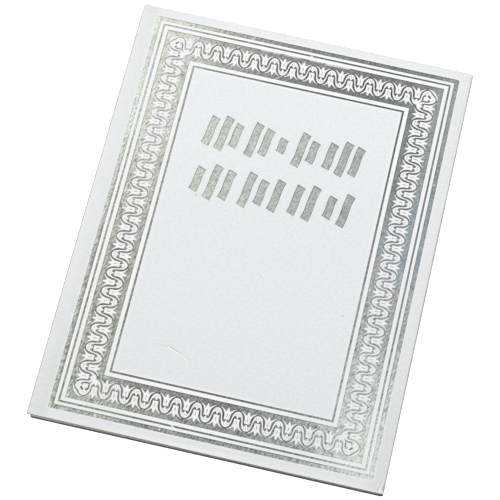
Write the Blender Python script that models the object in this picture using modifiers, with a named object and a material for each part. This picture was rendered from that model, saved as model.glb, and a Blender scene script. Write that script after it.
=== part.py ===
"""Card-covered booklet lying closed on its back cover, fold to the right, front cover up.

Metres, +Z up, +Y towards the head of the cover. The origin is on the surface that the booklet lies
on, under the middle of the front cover. The front cover carries a stamped frame: its lines and the
ground of the ornament are sunk, and the ribbon and the leaves stand between them.
"""
from math import asin, cos, hypot, pi, sin

import bmesh
import bpy
from mathutils import Matrix, Vector

# Cover card and page block
COVER_WIDTH = 0.120
COVER_HEIGHT = 0.160
CARD_THICKNESS = 0.0006
CARD_EDGE_BEVEL = 0.0001
PAGE_BLOCK_THICKNESS = 0.0009
BACK_COVER_SETBACK = 0.0010
PAGE_SETBACK_FORE_EDGE = 0.0016
PAGE_SETBACK_ENDS = 0.0003

# How far the front cover springs open at its fore-edge
COVER_LIFT = 0.0007

# Gap between pieces that touch
CLEARANCE = 0.0003

# Stamped frame, measured from the edges of the front cover inwards
FRAME_MARGIN_FORE_EDGE = 0.00625
FRAME_MARGIN_SPINE = 0.00447
FRAME_MARGIN_HEAD = 0.00367
FRAME_MARGIN_TAIL = 0.00387
OUTER_BAND_WIDTH = 0.00165
OUTER_BAND_CORNER = 0.0006
OUTER_GAP = 0.0010
OUTER_LINE_WIDTH = 0.0006
GROUND_GAP = 0.00143
GROUND_WIDTH = 0.01045
INNER_GAP = 0.0015
INNER_LINE_WIDTH = 0.00065
STAMP_DEPTH = 0.00015

# Ornament: its clearance to the sides of its ground, and its pitch as a share of its height
ORNAMENT_MARGIN = 0.0013
ORNAMENT_PITCH_SHARE = 0.897

# Ribbon: its reach as a share of half the ornament's height, the rest as shares of its pitch
RIBBON_REACH = 0.62
RIBBON_BULGE = 0.046
RIBBON_LEG_HALF = 0.044
RIBBON_CROWN_HALF = 0.125
# Where the ribbon has a point in each half of its wave, as a share of the pitch after a crown
RIBBON_PHASES = (0.0, 0.1, 0.25, 0.4)

# Three-leaved palmette: across as shares of the pitch, along as shares of half the ornament's height
PALMETTE_STEM_HALF = 0.137
PALMETTE_FOOT = -0.11
PALMETTE_SHOULDER = 0.40
PALMETTE_SIDE_TIP = (0.40, 0.955)
PALMETTE_NOTCH = (0.10, 0.64)

# Square boss inside the ribbon's loop at each corner, as shares of the pitch
BOSS_HALF = 0.10
BOSS_INSET = 0.036

# Rows of strokes in the panel: middle of each row from the cover's head, and its height
TITLE_ROWS = ((0.0438, 0.0143), (0.0631, 0.0143))
TITLE_WIDTH = 0.0570
STROKE_WIDTH = 0.0029
STROKE_SLANT = 0.0022
STROKE_NIB = 0.0011
# Gap between groups of strokes, as a multiple of the gap between two strokes
GROUP_GAP_RATIO = 1.8
# Height of each stroke as a share of its row's, group by group
TITLE_STROKES = (
    ((0.86, 1.0, 0.72), (1.0, 0.80), (0.46,), (1.0, 0.66), (0.78, 1.0, 0.86)),
    ((0.72, 1.0, 0.86), (1.0, 0.74, 0.92), (0.86, 1.0), (0.66, 0.94)),
)

# Worked out from the values above
STACK_HEIGHT = 2 * CARD_THICKNESS + PAGE_BLOCK_THICKNESS + 2 * CLEARANCE
SPINE_RADIUS = STACK_HEIGHT / 2
SPINE_STEPS = 12
FOLD_X = COVER_WIDTH / 2 - SPINE_RADIUS
PANEL_WIDTH = COVER_WIDTH - SPINE_RADIUS
HINGE_RISE = CLEARANCE / 2
CUTTER_RISE = 0.0005


def clear_scene():
    for obj in list(bpy.data.objects):
        bpy.data.objects.remove(obj, do_unlink=True)


def new_collection(name):
    collection = bpy.data.collections.new(name)
    bpy.context.scene.collection.children.link(collection)
    return collection


def new_material(name, colour, roughness):
    material = bpy.data.materials.new(name)
    material.use_nodes = True
    shader = material.node_tree.nodes["Principled BSDF"]
    shader.inputs["Base Color"].default_value = (*colour, 1.0)
    shader.inputs["Roughness"].default_value = roughness
    shader.inputs["Metallic"].default_value = 0.0
    return material


def add_box(name, low, high, collection):
    """Box between two opposite corners, given in the object's own space."""
    low = Vector(low)
    high = Vector(high)
    form = bmesh.new()
    bmesh.ops.create_cube(form, size=1.0, matrix=Matrix.LocRotScale((low + high) / 2, None, high - low))
    mesh = bpy.data.meshes.new(name)
    form.to_mesh(mesh)
    form.free()
    box = bpy.data.objects.new(name, mesh)
    collection.objects.link(box)
    return box


def add_prism(name, outlines, half_depth, collection):
    """Mesh of flat outlines in XY, filled by turns from the outside in, and half_depth each way in Z."""
    curve = bpy.data.curves.new(name + "_outline", "CURVE")
    curve.dimensions = "2D"
    curve.fill_mode = "BOTH"
    curve.extrude = half_depth
    for outline in outlines:
        spline = curve.splines.new("POLY")
        spline.points.add(len(outline) - 1)
        for point, (x, y) in zip(spline.points, outline):
            point.co = (x, y, 0.0, 1.0)
        spline.use_cyclic_u = True
    drawn = bpy.data.objects.new(name + "_outline", curve)
    collection.objects.link(drawn)
    bpy.context.view_layer.update()
    evaluated = drawn.evaluated_get(bpy.context.evaluated_depsgraph_get())
    mesh = bpy.data.meshes.new_from_object(evaluated)
    mesh.name = name
    form = bmesh.new()
    form.from_mesh(mesh)
    bmesh.ops.remove_doubles(form, verts=form.verts, dist=1e-6)
    # The fill leaves triangles of no area where leaf tips stand in a row, and turning edges removes them
    flat = [face for face in form.faces if len({vert.co.z > 0 for vert in face.verts}) == 1]
    inside = [edge for edge in form.edges if all(face in flat for face in edge.link_faces)]
    bmesh.ops.beautify_fill(form, faces=flat, edges=inside)
    bmesh.ops.recalc_face_normals(form, faces=form.faces)
    form.to_mesh(mesh)
    form.free()
    solid = bpy.data.objects.new(name, mesh)
    solid.matrix_world = drawn.matrix_world
    collection.objects.link(solid)
    bpy.data.objects.remove(drawn, do_unlink=True)
    return solid


def add_bevel(obj, width):
    bevel = obj.modifiers.new("edges", "BEVEL")
    bevel.width = width
    bevel.segments = 1
    bevel.limit_method = "ANGLE"


def cut(obj, cutter):
    cutter.hide_render = True
    cutter.display_type = "WIRE"
    cutter.parent = obj
    boolean = obj.modifiers.new(cutter.name, "BOOLEAN")
    boolean.operation = "DIFFERENCE"
    boolean.solver = "EXACT"
    boolean.object = cutter


def from_fore_edge(distance):
    """X in a cover panel's own space, whose origin is on the fold."""
    return distance - PANEL_WIDTH


def frame_rectangle(inset, corner=0.0):
    """Outline at an inset from the frame's outer line, with rounded corners if wanted."""
    left = from_fore_edge(FRAME_MARGIN_FORE_EDGE + inset)
    right = from_fore_edge(COVER_WIDTH - FRAME_MARGIN_SPINE - inset)
    low = -COVER_HEIGHT / 2 + FRAME_MARGIN_TAIL + inset
    high = COVER_HEIGHT / 2 - FRAME_MARGIN_HEAD - inset
    corners = ((right, high, 0.0), (left, high, 0.5), (left, low, 1.0), (right, low, 1.5))
    if corner == 0.0:
        return [(x, y) for x, y, _ in corners]
    outline = []
    for x, y, turn in corners:
        side_x = 1 if x == right else -1
        side_y = 1 if y == high else -1
        for step in range(4):
            angle = pi * (turn + step / 6)
            outline.append((
                x - side_x * corner + corner * cos(angle),
                y - side_y * corner + corner * sin(angle),
            ))
    return outline


def frame_insets():
    """Insets of the frame's lines from its outer line, in order inwards."""
    band_in = OUTER_BAND_WIDTH
    line_out = band_in + OUTER_GAP
    line_in = line_out + OUTER_LINE_WIDTH
    ground_out = line_in + GROUND_GAP
    ground_in = ground_out + GROUND_WIDTH
    inner_out = ground_in + INNER_GAP
    inner_in = inner_out + INNER_LINE_WIDTH
    return band_in, line_out, line_in, ground_out, ground_in, inner_out, inner_in


def ornament_sides():
    """The four sides of the ornament's middle line, clockwise from the head side.

    Each is its first corner, its unit direction, its outward direction, its number of repeats and
    its pitch. Repeats are a whole number, so that each corner has the same mitre.
    """
    ground_out = frame_insets()[3]
    line = frame_rectangle(ground_out + GROUND_WIDTH / 2)
    top_right, top_left, low_left, low_right = line
    ends = (
        (top_left, top_right, (0, 1)),
        (top_right, low_right, (1, 0)),
        (low_right, low_left, (0, -1)),
        (low_left, top_left, (-1, 0)),
    )
    wanted_pitch = (GROUND_WIDTH - 2 * ORNAMENT_MARGIN) * ORNAMENT_PITCH_SHARE
    sides = []
    for start, end, outward in ends:
        length = hypot(end[0] - start[0], end[1] - start[1])
        along = ((end[0] - start[0]) / length, (end[1] - start[1]) / length)
        repeats = max(2, round(length / wanted_pitch))
        sides.append((start, along, outward, repeats, length / repeats))
    return sides


def place(side, distance, rise):
    """Point on a side, at a distance along it and a rise towards the cover's edge."""
    start, along, outward = side[:3]
    return (
        start[0] + along[0] * distance + outward[0] * rise,
        start[1] + along[1] * distance + outward[1] * rise,
    )


def ribbon_edge(phase, pitch, half_height, crown_half, which):
    """Distance and rise of one edge of the ribbon at a phase, where whole turns are outer crowns."""
    angle = 2 * pi * phase
    slope_x = pitch * (1 + 4 * pi * RIBBON_BULGE * cos(2 * angle))
    slope_y = -2 * pi * RIBBON_REACH * half_height * sin(angle)
    size = hypot(slope_x, slope_y)
    share = abs(cos(angle)) ** 3
    half = pitch * (RIBBON_LEG_HALF + (crown_half - RIBBON_LEG_HALF) * share)
    x = pitch * (phase + RIBBON_BULGE * sin(2 * angle))
    y = RIBBON_REACH * half_height * cos(angle)
    return x - which * half * slope_y / size, y + which * half * slope_x / size


def ribbon_outline(sides, half_height, which):
    """One edge of the ribbon all the way round, turning through a loop at each corner."""
    outline = []
    for side in sides:
        repeats, pitch = side[3:]
        phases = [half / 2 + share for half in range(-1, 2 * repeats + 1) for share in RIBBON_PHASES]
        for phase in phases:
            crown = round(2 * phase) / 2
            at_mitre = crown in (0.5, repeats - 0.5)
            crown_half = RIBBON_LEG_HALF if at_mitre else RIBBON_CROWN_HALF
            x, y = ribbon_edge(phase, pitch, half_height, crown_half, which)
            inside_mitres = x + y > 0 and repeats * pitch - x + y > 0
            if inside_mitres and -0.25 < phase < repeats + 0.25:
                outline.append(place(side, x, y))
    return outline


def palmette_outline(side, middle, pitch, half_height, direction):
    """Three-leaved palmette across the middle line, pointing outwards (1) or inwards (-1)."""
    half_outline = (
        (PALMETTE_STEM_HALF, PALMETTE_FOOT),
        (PALMETTE_STEM_HALF, PALMETTE_SHOULDER),
        PALMETTE_SIDE_TIP,
        PALMETTE_NOTCH,
    )
    right = [(across * pitch, rise * half_height) for across, rise in half_outline]
    left = [(-across, rise) for across, rise in reversed(right)]
    points = right + [(0.0, half_height)] + left
    return [place(side, middle + across, direction * rise) for across, rise in points]


def boss_outline(side):
    """Square boss at the start of a side, a little nearer the panel than the corner of the middle line."""
    pitch = side[4]
    near = (BOSS_INSET - BOSS_HALF) * pitch
    far = (BOSS_INSET + BOSS_HALF) * pitch
    return [place(side, x, -y) for x, y in ((near, near), (far, near), (far, far), (near, far))]


def ornament_outlines():
    half_height = GROUND_WIDTH / 2 - ORNAMENT_MARGIN
    sides = ornament_sides()
    outlines = [
        ribbon_outline(sides, half_height, 1),
        ribbon_outline(sides, half_height, -1),
    ]
    for side in sides:
        repeats, pitch = side[3:]
        for number in range(repeats):
            middle = (number + 0.5) * pitch
            outlines.append(palmette_outline(side, middle, pitch, half_height, 1))
        for number in range(1, repeats):
            outlines.append(palmette_outline(side, number * pitch, pitch, half_height, -1))
        outlines.append(boss_outline(side))
    return outlines


def stroke_outline(x, y_middle, height):
    """Slanting stroke with nib-cut ends."""
    low = y_middle - height / 2
    high = y_middle + height / 2
    lean = STROKE_SLANT * height / TITLE_ROWS[0][1]
    return [
        (x, low + STROKE_NIB),
        (x + STROKE_WIDTH, low),
        (x + STROKE_WIDTH + lean, high - STROKE_NIB),
        (x + lean, high),
    ]


def title_outlines():
    panel_middle = (FRAME_MARGIN_FORE_EDGE + COVER_WIDTH - FRAME_MARGIN_SPINE) / 2
    outlines = []
    for (row_middle, row_height), groups in zip(TITLE_ROWS, TITLE_STROKES):
        strokes = sum(len(group) for group in groups)
        group_gaps = len(groups) - 1
        gaps = strokes - 1 - group_gaps + group_gaps * GROUP_GAP_RATIO
        gap = (TITLE_WIDTH - STROKE_SLANT - strokes * STROKE_WIDTH) / gaps
        x = from_fore_edge(panel_middle - TITLE_WIDTH / 2)
        y = COVER_HEIGHT / 2 - row_middle
        for group in groups:
            for share in group:
                outlines.append(stroke_outline(x, y, share * row_height))
                x += STROKE_WIDTH + gap
            x += gap * (GROUP_GAP_RATIO - 1)
    return outlines


def make_front_cover(parts, cutters):
    top = -HINGE_RISE
    cover = add_box(
        "front_cover",
        (-PANEL_WIDTH, -COVER_HEIGHT / 2, top - CARD_THICKNESS),
        (-CLEARANCE / 2, COVER_HEIGHT / 2, top),
        parts,
    )
    add_bevel(cover, CARD_EDGE_BEVEL)
    cover.data.materials.append(new_material("white_card_front", (0.88, 0.88, 0.87), 0.62))

    band_in, line_out, line_in, ground_out, ground_in, inner_out, inner_in = frame_insets()
    stamps = {
        "frame_lines": [
            frame_rectangle(0.0, OUTER_BAND_CORNER),
            frame_rectangle(band_in),
            frame_rectangle(line_out),
            frame_rectangle(line_in),
            frame_rectangle(inner_out),
            frame_rectangle(inner_in),
        ],
        "ornament_ground": [
            frame_rectangle(ground_out),
            *ornament_outlines(),
            frame_rectangle(ground_in),
        ],
        "title_strokes": title_outlines(),
    }
    for name, outlines in stamps.items():
        half_depth = (STAMP_DEPTH + CUTTER_RISE) / 2
        cutter = add_prism(name, outlines, half_depth, cutters)
        cutter.location = (0.0, 0.0, top - STAMP_DEPTH + half_depth)
        cut(cover, cutter)

    cover.location = (FOLD_X, 0.0, STACK_HEIGHT + HINGE_RISE)
    cover.rotation_euler = (0.0, asin(COVER_LIFT / PANEL_WIDTH), 0.0)
    return cover


def make_back_cover(parts):
    cover = add_box(
        "back_cover",
        (-PANEL_WIDTH + BACK_COVER_SETBACK, -COVER_HEIGHT / 2, HINGE_RISE),
        (-CLEARANCE / 2, COVER_HEIGHT / 2, HINGE_RISE + CARD_THICKNESS),
        parts,
    )
    add_bevel(cover, CARD_EDGE_BEVEL)
    cover.data.materials.append(new_material("white_card_back", (0.88, 0.88, 0.87), 0.62))
    cover.location = (FOLD_X, 0.0, -HINGE_RISE)
    return cover


def arc(radius, start, end, steps):
    """Points of an arc about the middle of the spine's round, from the fold's line."""
    points = []
    for step in range(steps + 1):
        angle = start + (end - start) * step / steps
        points.append((radius * cos(angle), radius * sin(angle)))
    return points


def stand_along_y(solid):
    """Turn a prism drawn in XY so that its outline stands in XZ and it runs along Y."""
    solid.rotation_euler = (pi / 2, 0.0, 0.0)
    solid.location = (FOLD_X, 0.0, STACK_HEIGHT / 2)


def make_spine(parts):
    inner_radius = SPINE_RADIUS - CARD_THICKNESS
    outer_start = asin(CLEARANCE / 2 / SPINE_RADIUS)
    inner_start = asin(CLEARANCE / 2 / inner_radius)
    quarter = pi / 2
    outer = arc(SPINE_RADIUS, -quarter + outer_start, quarter - outer_start, SPINE_STEPS)
    inner = arc(inner_radius, quarter - inner_start, -quarter + inner_start, SPINE_STEPS)
    spine = add_prism("spine", [outer + inner], COVER_HEIGHT / 2, parts)
    stand_along_y(spine)
    spine.data.materials.append(new_material("white_card_spine", (0.88, 0.88, 0.87), 0.62))
    spine.data.shade_smooth()
    spine.data.set_sharp_from_angle(angle=pi / 5)
    return spine


def make_page_block(parts):
    half = PAGE_BLOCK_THICKNESS / 2
    reach = SPINE_RADIUS - CARD_THICKNESS - CLEARANCE
    fold = [(x * reach / half, y) for x, y in arc(half, -pi / 2, pi / 2, SPINE_STEPS)]
    fore_edge = -PANEL_WIDTH + PAGE_SETBACK_FORE_EDGE
    outline = fold + [(fore_edge, half), (fore_edge, -half)]
    block = add_prism("page_block", [outline], COVER_HEIGHT / 2 - PAGE_SETBACK_ENDS, parts)
    stand_along_y(block)
    block.data.materials.append(new_material("paper_pages", (0.80, 0.79, 0.74), 0.80))
    return block


def main():
    clear_scene()
    parts = new_collection("booklet")
    cutters = new_collection("cutters")
    make_front_cover(parts, cutters)
    make_spine(parts)
    make_back_cover(parts)
    make_page_block(parts)


main()
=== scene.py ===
"""Thin booklet in a folded card cover with a foil-stamped frame, lying closed, seen from above.

The front and back of the cover are one folded sheet of grained card, made here as two sheets that
meet in the middle of the spine. The stamped foil, the ribbon and the leaves are real relief.
"""
from math import cos, exp, hypot, pi, radians, sin

import bpy
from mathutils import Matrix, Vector, kdtree, noise
from mathutils.geometry import delaunay_2d_cdt


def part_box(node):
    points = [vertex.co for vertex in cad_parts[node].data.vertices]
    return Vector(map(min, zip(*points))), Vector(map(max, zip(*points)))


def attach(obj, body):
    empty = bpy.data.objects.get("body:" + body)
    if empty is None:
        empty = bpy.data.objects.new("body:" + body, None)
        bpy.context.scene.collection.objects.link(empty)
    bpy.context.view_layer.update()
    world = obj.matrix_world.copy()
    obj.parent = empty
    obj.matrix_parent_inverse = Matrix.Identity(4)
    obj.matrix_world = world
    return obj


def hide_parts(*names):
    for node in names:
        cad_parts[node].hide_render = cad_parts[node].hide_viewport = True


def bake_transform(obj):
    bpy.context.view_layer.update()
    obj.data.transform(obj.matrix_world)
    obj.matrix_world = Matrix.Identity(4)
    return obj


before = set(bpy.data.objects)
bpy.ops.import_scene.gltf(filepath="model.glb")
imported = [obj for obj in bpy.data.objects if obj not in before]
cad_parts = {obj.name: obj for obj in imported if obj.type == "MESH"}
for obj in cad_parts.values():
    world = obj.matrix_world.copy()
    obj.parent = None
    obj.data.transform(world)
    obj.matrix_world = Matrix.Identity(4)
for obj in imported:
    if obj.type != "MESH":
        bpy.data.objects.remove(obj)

bl_info = {
    "name": "Foil-stamped booklet",
    "version": (1, 0, 0),
    "blender": (4, 5, 0),
    "location": "3D Viewport > Sidebar > Booklet",
    "description": "Builds a card-covered booklet with a foil-stamped frame, and its studio",
    "category": "Object",
}

MM = 0.001

# The solids that the cover and the leaves stand for, in millimetres
FRONT_LOW, FRONT_HIGH = ([value / MM for value in corner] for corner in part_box("front_cover"))
BACK_LOW, BACK_HIGH = ([value / MM for value in corner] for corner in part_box("back_cover"))
_, SPINE_HIGH = ([value / MM for value in corner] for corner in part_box("spine"))
PAGES_LOW, PAGES_HIGH = ([value / MM for value in corner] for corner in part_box("page_block"))

CARD = BACK_HIGH[2] - BACK_LOW[2]
STACK = SPINE_HIGH[2]
RADIUS = STACK / 2
FOLD = SPINE_HIGH[0] - RADIUS
HALF_LENGTH = FRONT_HIGH[1]
SEAM = FOLD + RADIUS * pi / 2
LIFT = FRONT_HIGH[2] - STACK
HINGE_RISE = 0.15
BEND = 0.6
# Half the closed cover's width and length, which places on it are counted from
COVER_HALVES = (60, 80)

# The stamped frame, from its outer edge inwards: where each part of the foil starts and ends
BAND = (0, 1.55)
OUTER_LINE = (2.65, 3.25)
GROUND = (4.68, 15.13)
INNER_LINE = (16.63, 17.28)
ORNAMENT_MIDDLE = 9.905
# Half the width of a stamped wall, how far a stamped edge strays, and the seed of its straying
WALL = 0.03
UNEVEN = 0.02
SEED = 1

# The flat card: its corners, and the rings along its edge: end of the rounding, worn rim, clean
CARD_CORNER = 0.45
ROUNDED, WORN, CLEAN = 0.1, 0.28, 0.45
# How far in and down each ring of the cut edge lies, and how much it shows of the cut
EDGE_PROFILE = (
    (0.035, -0.014, 0), (0.0, -0.05, 0.15), (0.0, -0.14, 1), (0.0, -CARD + 0.05, 1),
    (0.04, -CARD + 0.01, 1), (ROUNDED, -CARD, 1),
)
# The grid of points on the card, closer where it bends
BEND_COLUMNS = [56.6 + 0.17 * number for number in range(9)]
BEND_COLUMNS += [FOLD - BEND + 0.05 * number for number in range(15)]
BEND_COLUMNS += [FOLD + 0.17 * number for number in range(1, 12)]
COLUMNS = [-59 + 2 * number for number in range(58)] + BEND_COLUMNS + [SEAM]
INSIDE_COLUMNS = BEND_COLUMNS + [-50 + 8 * number for number in range(13)]
ROWS = [-78.75 + 2.5 * number for number in range(64)]
# Edges that bend more than this, in degrees, look sharp
SHARP = 38
# Finishes in the order of the card's material slots
FINISHES = ("card", "foil", "edge", "inside")

# Half a repeat of the ornament: along the middle line, and rising towards the cover's edge
HALF_PITCH = 3.466
RIBBON_EDGE = (
    (0, 3.12), (0.62, 3.02), (1.12, 2.58), (1.5, 1.9), (1.72, 1.2), (1.86, 0.5), (1.95, -0.1),
    (2.12, -0.75), (2.33, -1.2), (2.6, -1.55), (2.84, -1.6), (3.04, -1.35), (3.2, -1.0),
    (3.31, -0.7, 1), (3.466, -0.66),
)
PALMETTE_HALF = (
    (0.6, -0.5), (0.95, -0.5, 1), (0.97, 0), (0.98, 0.7), (1.05, 1.4), (1.35, 2.15), (1.85, 2.85),
    (2.35, 3.29), (2.78, 3.63, 1), (2.25, 3.54), (1.65, 3.21), (1.05, 2.75), (0.62, 2.38, 1),
    (0.47, 2.8), (0.33, 3.35), (0, 3.92, 1),
)
# The corner, from the corner of the middle line out to the diagonal, which mirrors it
LOOP_HALF = (
    (-3.466, -0.66), (-3.31, -0.7, 1), (-3.2, -1.0), (-3.0, -1.32), (-2.7, -1.38), (-2.4, -1.1),
    (-2.18, -0.6), (-2.06, 0), (-1.98, 0.7), (-1.77, 1.65), (-1.34, 2.45), (-0.7, 3.03), (0, 3.22),
    (0.68, 3.05), (1.16, 2.62), (1.48, 2.2), (1.8, 1.8),
)
TROUGH_HALF = (
    (-5.34, -0.5), (-5.19, -1.2), (-4.97, -1.9), (-4.6, -2.55), (-4.15, -2.95), (-3.75, -3.12),
    (-3.45, -3.08), (-3.18, -3.18),
)
CRESCENT_OUTER = ((-0.3, 3.62), (0.4, 3.8), (1.15, 3.74), (1.84, 3.45), (2.4, 3.05), (2.73, 2.73))
CRESCENT_INNER = ((-0.3, 3.62), (0.42, 3.53), (1.12, 3.23), (1.64, 2.76), (2.16, 2.16))
LOOP_GAP_HALF = (
    (-2.25, -2.25), (-1.75, -1.55), (-1.62, -1.0), (-1.58, -0.4), (-1.52, 0.2), (-1.4, 0.75),
    (-1.15, 1.25), (-0.85, 1.48), (-0.6, 1.4), (-0.42, 1.05), (-0.32, 0.62, 1), (-0.7, 0.58),
    (-1.04, 0.5, 1), (-1.08, -0.3), (-1.06, -1.06),
)
LOOP_EYE_HALF = (
    (0.6, 0.6), (0.42, 0.78), (0.2, 0.95), (0.18, 1.25), (0.48, 1.46), (0.85, 1.32), (1.08, 1.08),
)

# The two rows of stamped strokes: how far each row's middle lies from the head, and its height
STROKE_ROWS = ((43.8, 14.3), (63.1, 14.3))
# Height of each stroke as a share of its row's height, in groups
STROKE_GROUPS = (
    ((0.86, 1, 0.72), (1, 0.80), (0.46,), (1, 0.66), (0.78, 1, 0.86)),
    ((0.72, 1, 0.86), (1, 0.74, 0.92), (0.86, 1), (0.66, 0.94)),
)
ROW_LENGTH = 57.0
STROKE_WIDTH = 2.9
STROKE_SLANT = 2.2
STROKE_NIB = 1.1
GROUP_GAP = 1.8

# Painted reflection: how pale the foil is painted along each side: place along the side, paleness
HEAD_SHEEN = (
    (-54, 0.33), (-45, 0.34), (-25, 0.145), (-4, 0.07), (28, 0.06), (45, 0.12), (54, 0.25),
)
SPINE_SHEEN = (
    (-74, 0.97), (-60, 0.84), (-48, 0.7), (-20, 0.48), (8, 0.34), (40, 0.28), (72, 0.32),
)
TAIL_SHEEN = (
    (-54, 0.42), (-39, 0.42), (-25, 0.26), (0, 0.22), (25, 0.38), (50, 0.86), (55, 0.97),
)
FORE_SHEEN = (
    (-74, 0.27), (-50, 0.26), (-22, 0.22), (10, 0.285), (38, 0.39), (55, 0.33), (72, 0.26),
)
STROKE_SHEEN = 0.37

# Marks of use on the card: start, end, width in millimetres, and brightness
MARKS = (
    ((-24.4, -45.7), (-19.6, -46.1), 0.14, 0.64),
    ((-19.6, -46.1), (-15.6, -47.4), 0.18, 0.5),
    ((-15.6, -47.4), (-11.4, -50.0), 0.13, 0.64),
    ((-20.5, -46.4), (-15.9, -47.8), 0.15, 0.98),
    ((-15.9, -47.8), (-12.5, -49.8), 0.13, 0.93),
    ((-33.5, -51.0), (-24.4, -45.7), 0.09, 0.7),
    ((-24.5, 10.85), (-24.2, 10.7), 0.25, 0.42),
    ((-25.1, 18.3), (-24.8, 18.3), 0.18, 0.62),
    ((4.0, -13.6), (4.3, -13.7), 0.25, 0.5),
    ((4.1, -13.2), (4.4, -13.2), 0.22, 1.0),
    ((34.0, -21.4), (34.1, -21.8), 0.2, 0.5),
)
STAINS = (((57.3, 59.1), (57.4, 58.6), 0.6), ((58.6, 46.3), (58.6, 45.9), 0.5))

# Scratches and rubbed places in the foil, where the card shows: start, end, width, and how bare
SCRATCHES = (
    ((-18.3, 76.3), (-20.1, 73.5), 0.28, 0.5),
    ((-20.1, 73.5), (-23.6, 70.6), 0.25, 0.35),
    ((-8.7, 60.8), (-5.2, 63.7), 0.25, 0.5),
    ((-5.2, 63.7), (-0.4, 68.5), 0.22, 0.25),
    ((-0.4, 68.5), (1.1, 70.9), 0.25, 0.55),
    ((2.6, 73.4), (2.9, 73.4), 0.4, 0.9),
    ((33.4, 77.0), (33.8, 76.5), 0.3, 0.4),
    ((-12.8, -72.8), (-11.3, -73.8), 0.38, 1.0),
    ((-16.3, -75.2), (-16.2, -75.2), 0.4, 0.8),
    ((54.5, 34.0), (54.5, 33.9), 0.45, 0.9),
    ((-15.0, 71.8), (-8.2, 71.75), 0.5, 0.55),
    ((-6.5, 71.75), (-1.0, 71.75), 0.42, 0.5),
    ((2.5, 71.75), (7.2, 71.7), 0.42, 0.5),
    ((8.5, 71.65), (16.5, 71.75), 0.6, 0.8),
)

# The leaves: steps along their length, steps round the fold, and the air between two of them
LEAF_STEPS = 32
LEAF_TURN_STEPS = 8
LEAF_GAP = 0.012

# The studio: half the floor's width and how far it lies below, in metres, the glow of floor and
# sky, soft lights with size and power, and the camera
FLOOR_REACH = 2.5
FLOOR_DROP = 0.00002
GLOW = 0.62
LIGHTS = (("key", (-0.55, 0.75, 0.85), 0.7, 7.8), ("fill", (0.7, -0.5, 0.9), 0.9, 3.6))
LENS = 168.512
CAMERA_PLACE = (0.053925699, -0.331564062, 0.726676157)
CAMERA_TURN = (24.549209, -1.459148, 12.866745)

LENGTH = {"unit": "LENGTH", "subtype": "DISTANCE", "precision": 5}
COLOUR = {"subtype": "COLOR", "size": 3, "min": 0, "max": 1}


class BookletSizes(bpy.types.PropertyGroup):
    """Sizes that can be changed, in metres."""

    margin_fore_edge: bpy.props.FloatProperty(
        name="Frame to fore-edge", description="From the fore-edge to the foil band",
        default=0.00625, min=0.001, **LENGTH)
    margin_spine: bpy.props.FloatProperty(
        name="Frame to spine", description="From the fold's side to the foil band",
        default=0.00447, min=0.001, **LENGTH)
    margin_head: bpy.props.FloatProperty(
        name="Frame to head", description="From the head edge to the foil band",
        default=0.00359, min=0.001, **LENGTH)
    margin_tail: bpy.props.FloatProperty(
        name="Frame to tail", description="From the tail edge to the foil band",
        default=0.00387, min=0.001, **LENGTH)
    stamp_depth: bpy.props.FloatProperty(
        name="Stamp depth", description="How deep the foil is pressed into the card",
        default=0.00013, min=0.00002, **LENGTH)
    grain: bpy.props.FloatProperty(
        name="Card grain", description="Width of one bump of the card's felt grain",
        default=0.00045, min=0.0001, **LENGTH)
    leaf_thickness: bpy.props.FloatProperty(
        name="Leaf thickness", description="Thickness of one leaf of paper",
        default=0.000095, min=0.00005, **LENGTH)


class BookletColours(bpy.types.PropertyGroup):
    """Colours that can be changed."""

    card: bpy.props.FloatVectorProperty(
        name="Card", description="White cover card", default=(0.775, 0.78, 0.785), **COLOUR)
    # Painted highlight: lighter card beside the foil and on lit places, also the bare card in the
    # foil's scratches
    card_pressed: bpy.props.FloatVectorProperty(
        name="Pressed card", description="Card between the foil lines, smoothed by the die",
        default=(0.9, 0.9, 0.9), **COLOUR)
    card_inside: bpy.props.FloatVectorProperty(
        name="Card inside", description="Uncoated inside of the cover",
        default=(0.74, 0.73, 0.7), **COLOUR)
    # Cut edges of the card, dark grey and darkened further as painted shade
    cut_edge: bpy.props.FloatVectorProperty(
        name="Cut edge", description="Cut and handled edges of the card",
        default=(0.055, 0.055, 0.047), **COLOUR)
    # Painted reflection: the foil's colour where it is painted to reflect dark
    foil_dark: bpy.props.FloatVectorProperty(
        name="Foil, dark", description="Foil where it is bright-polished",
        default=(0.157, 0.156, 0.154), **COLOUR)
    # Painted reflection: the foil's colour where it is painted to reflect pale
    foil_pale: bpy.props.FloatVectorProperty(
        name="Foil, pale", description="Foil where it is matt",
        default=(0.85, 0.86, 0.82), **COLOUR)
    paper: bpy.props.FloatVectorProperty(
        name="Paper", description="Leaves", default=(0.8, 0.78, 0.72), **COLOUR)
    floor: bpy.props.FloatVectorProperty(
        name="Floor", description="Studio floor", default=(0.9, 0.9, 0.9), **COLOUR)


def smooth_line(points, step=0.27):
    """Points of a smooth line through the given ones. A third value marks a sharp corner."""
    runs = []
    run = [points[0]]
    for point in points[1:]:
        run.append(point)
        if len(point) == 3:
            runs.append(run)
            run = [point]
    if len(run) > 1:
        runs.append(run)
    line = []
    for run in runs:
        ends = [Vector(point[:2]) for point in run]
        ends.insert(0, 2 * ends[0] - ends[1])
        ends.append(2 * ends[-1] - ends[-2])
        for before, start, end, after in zip(ends, ends[1:], ends[2:], ends[3:]):
            count = max(1, min(6, round((end - start).length / step)))
            for number in range(count):
                t = number / count
                place = 0.5 * (
                    2 * start
                    + (end - before) * t
                    + (2 * before - 5 * start + 4 * end - after) * t ** 2
                    + (3 * start - before - 3 * end + after) * t ** 3
                )
                line.append((place.x, place.y))
    line.append(tuple(points[-1][:2]))
    return line


def joined(*lines):
    """One line from several that follow each other, without repeated points."""
    line = []
    for part in lines:
        for point in part:
            if not line or hypot(point[0] - line[-1][0], point[1] - line[-1][1]) > 1e-4:
                line.append(point)
    if hypot(line[0][0] - line[-1][0], line[0][1] - line[-1][1]) < 1e-4:
        line.pop()
    return line


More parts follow.
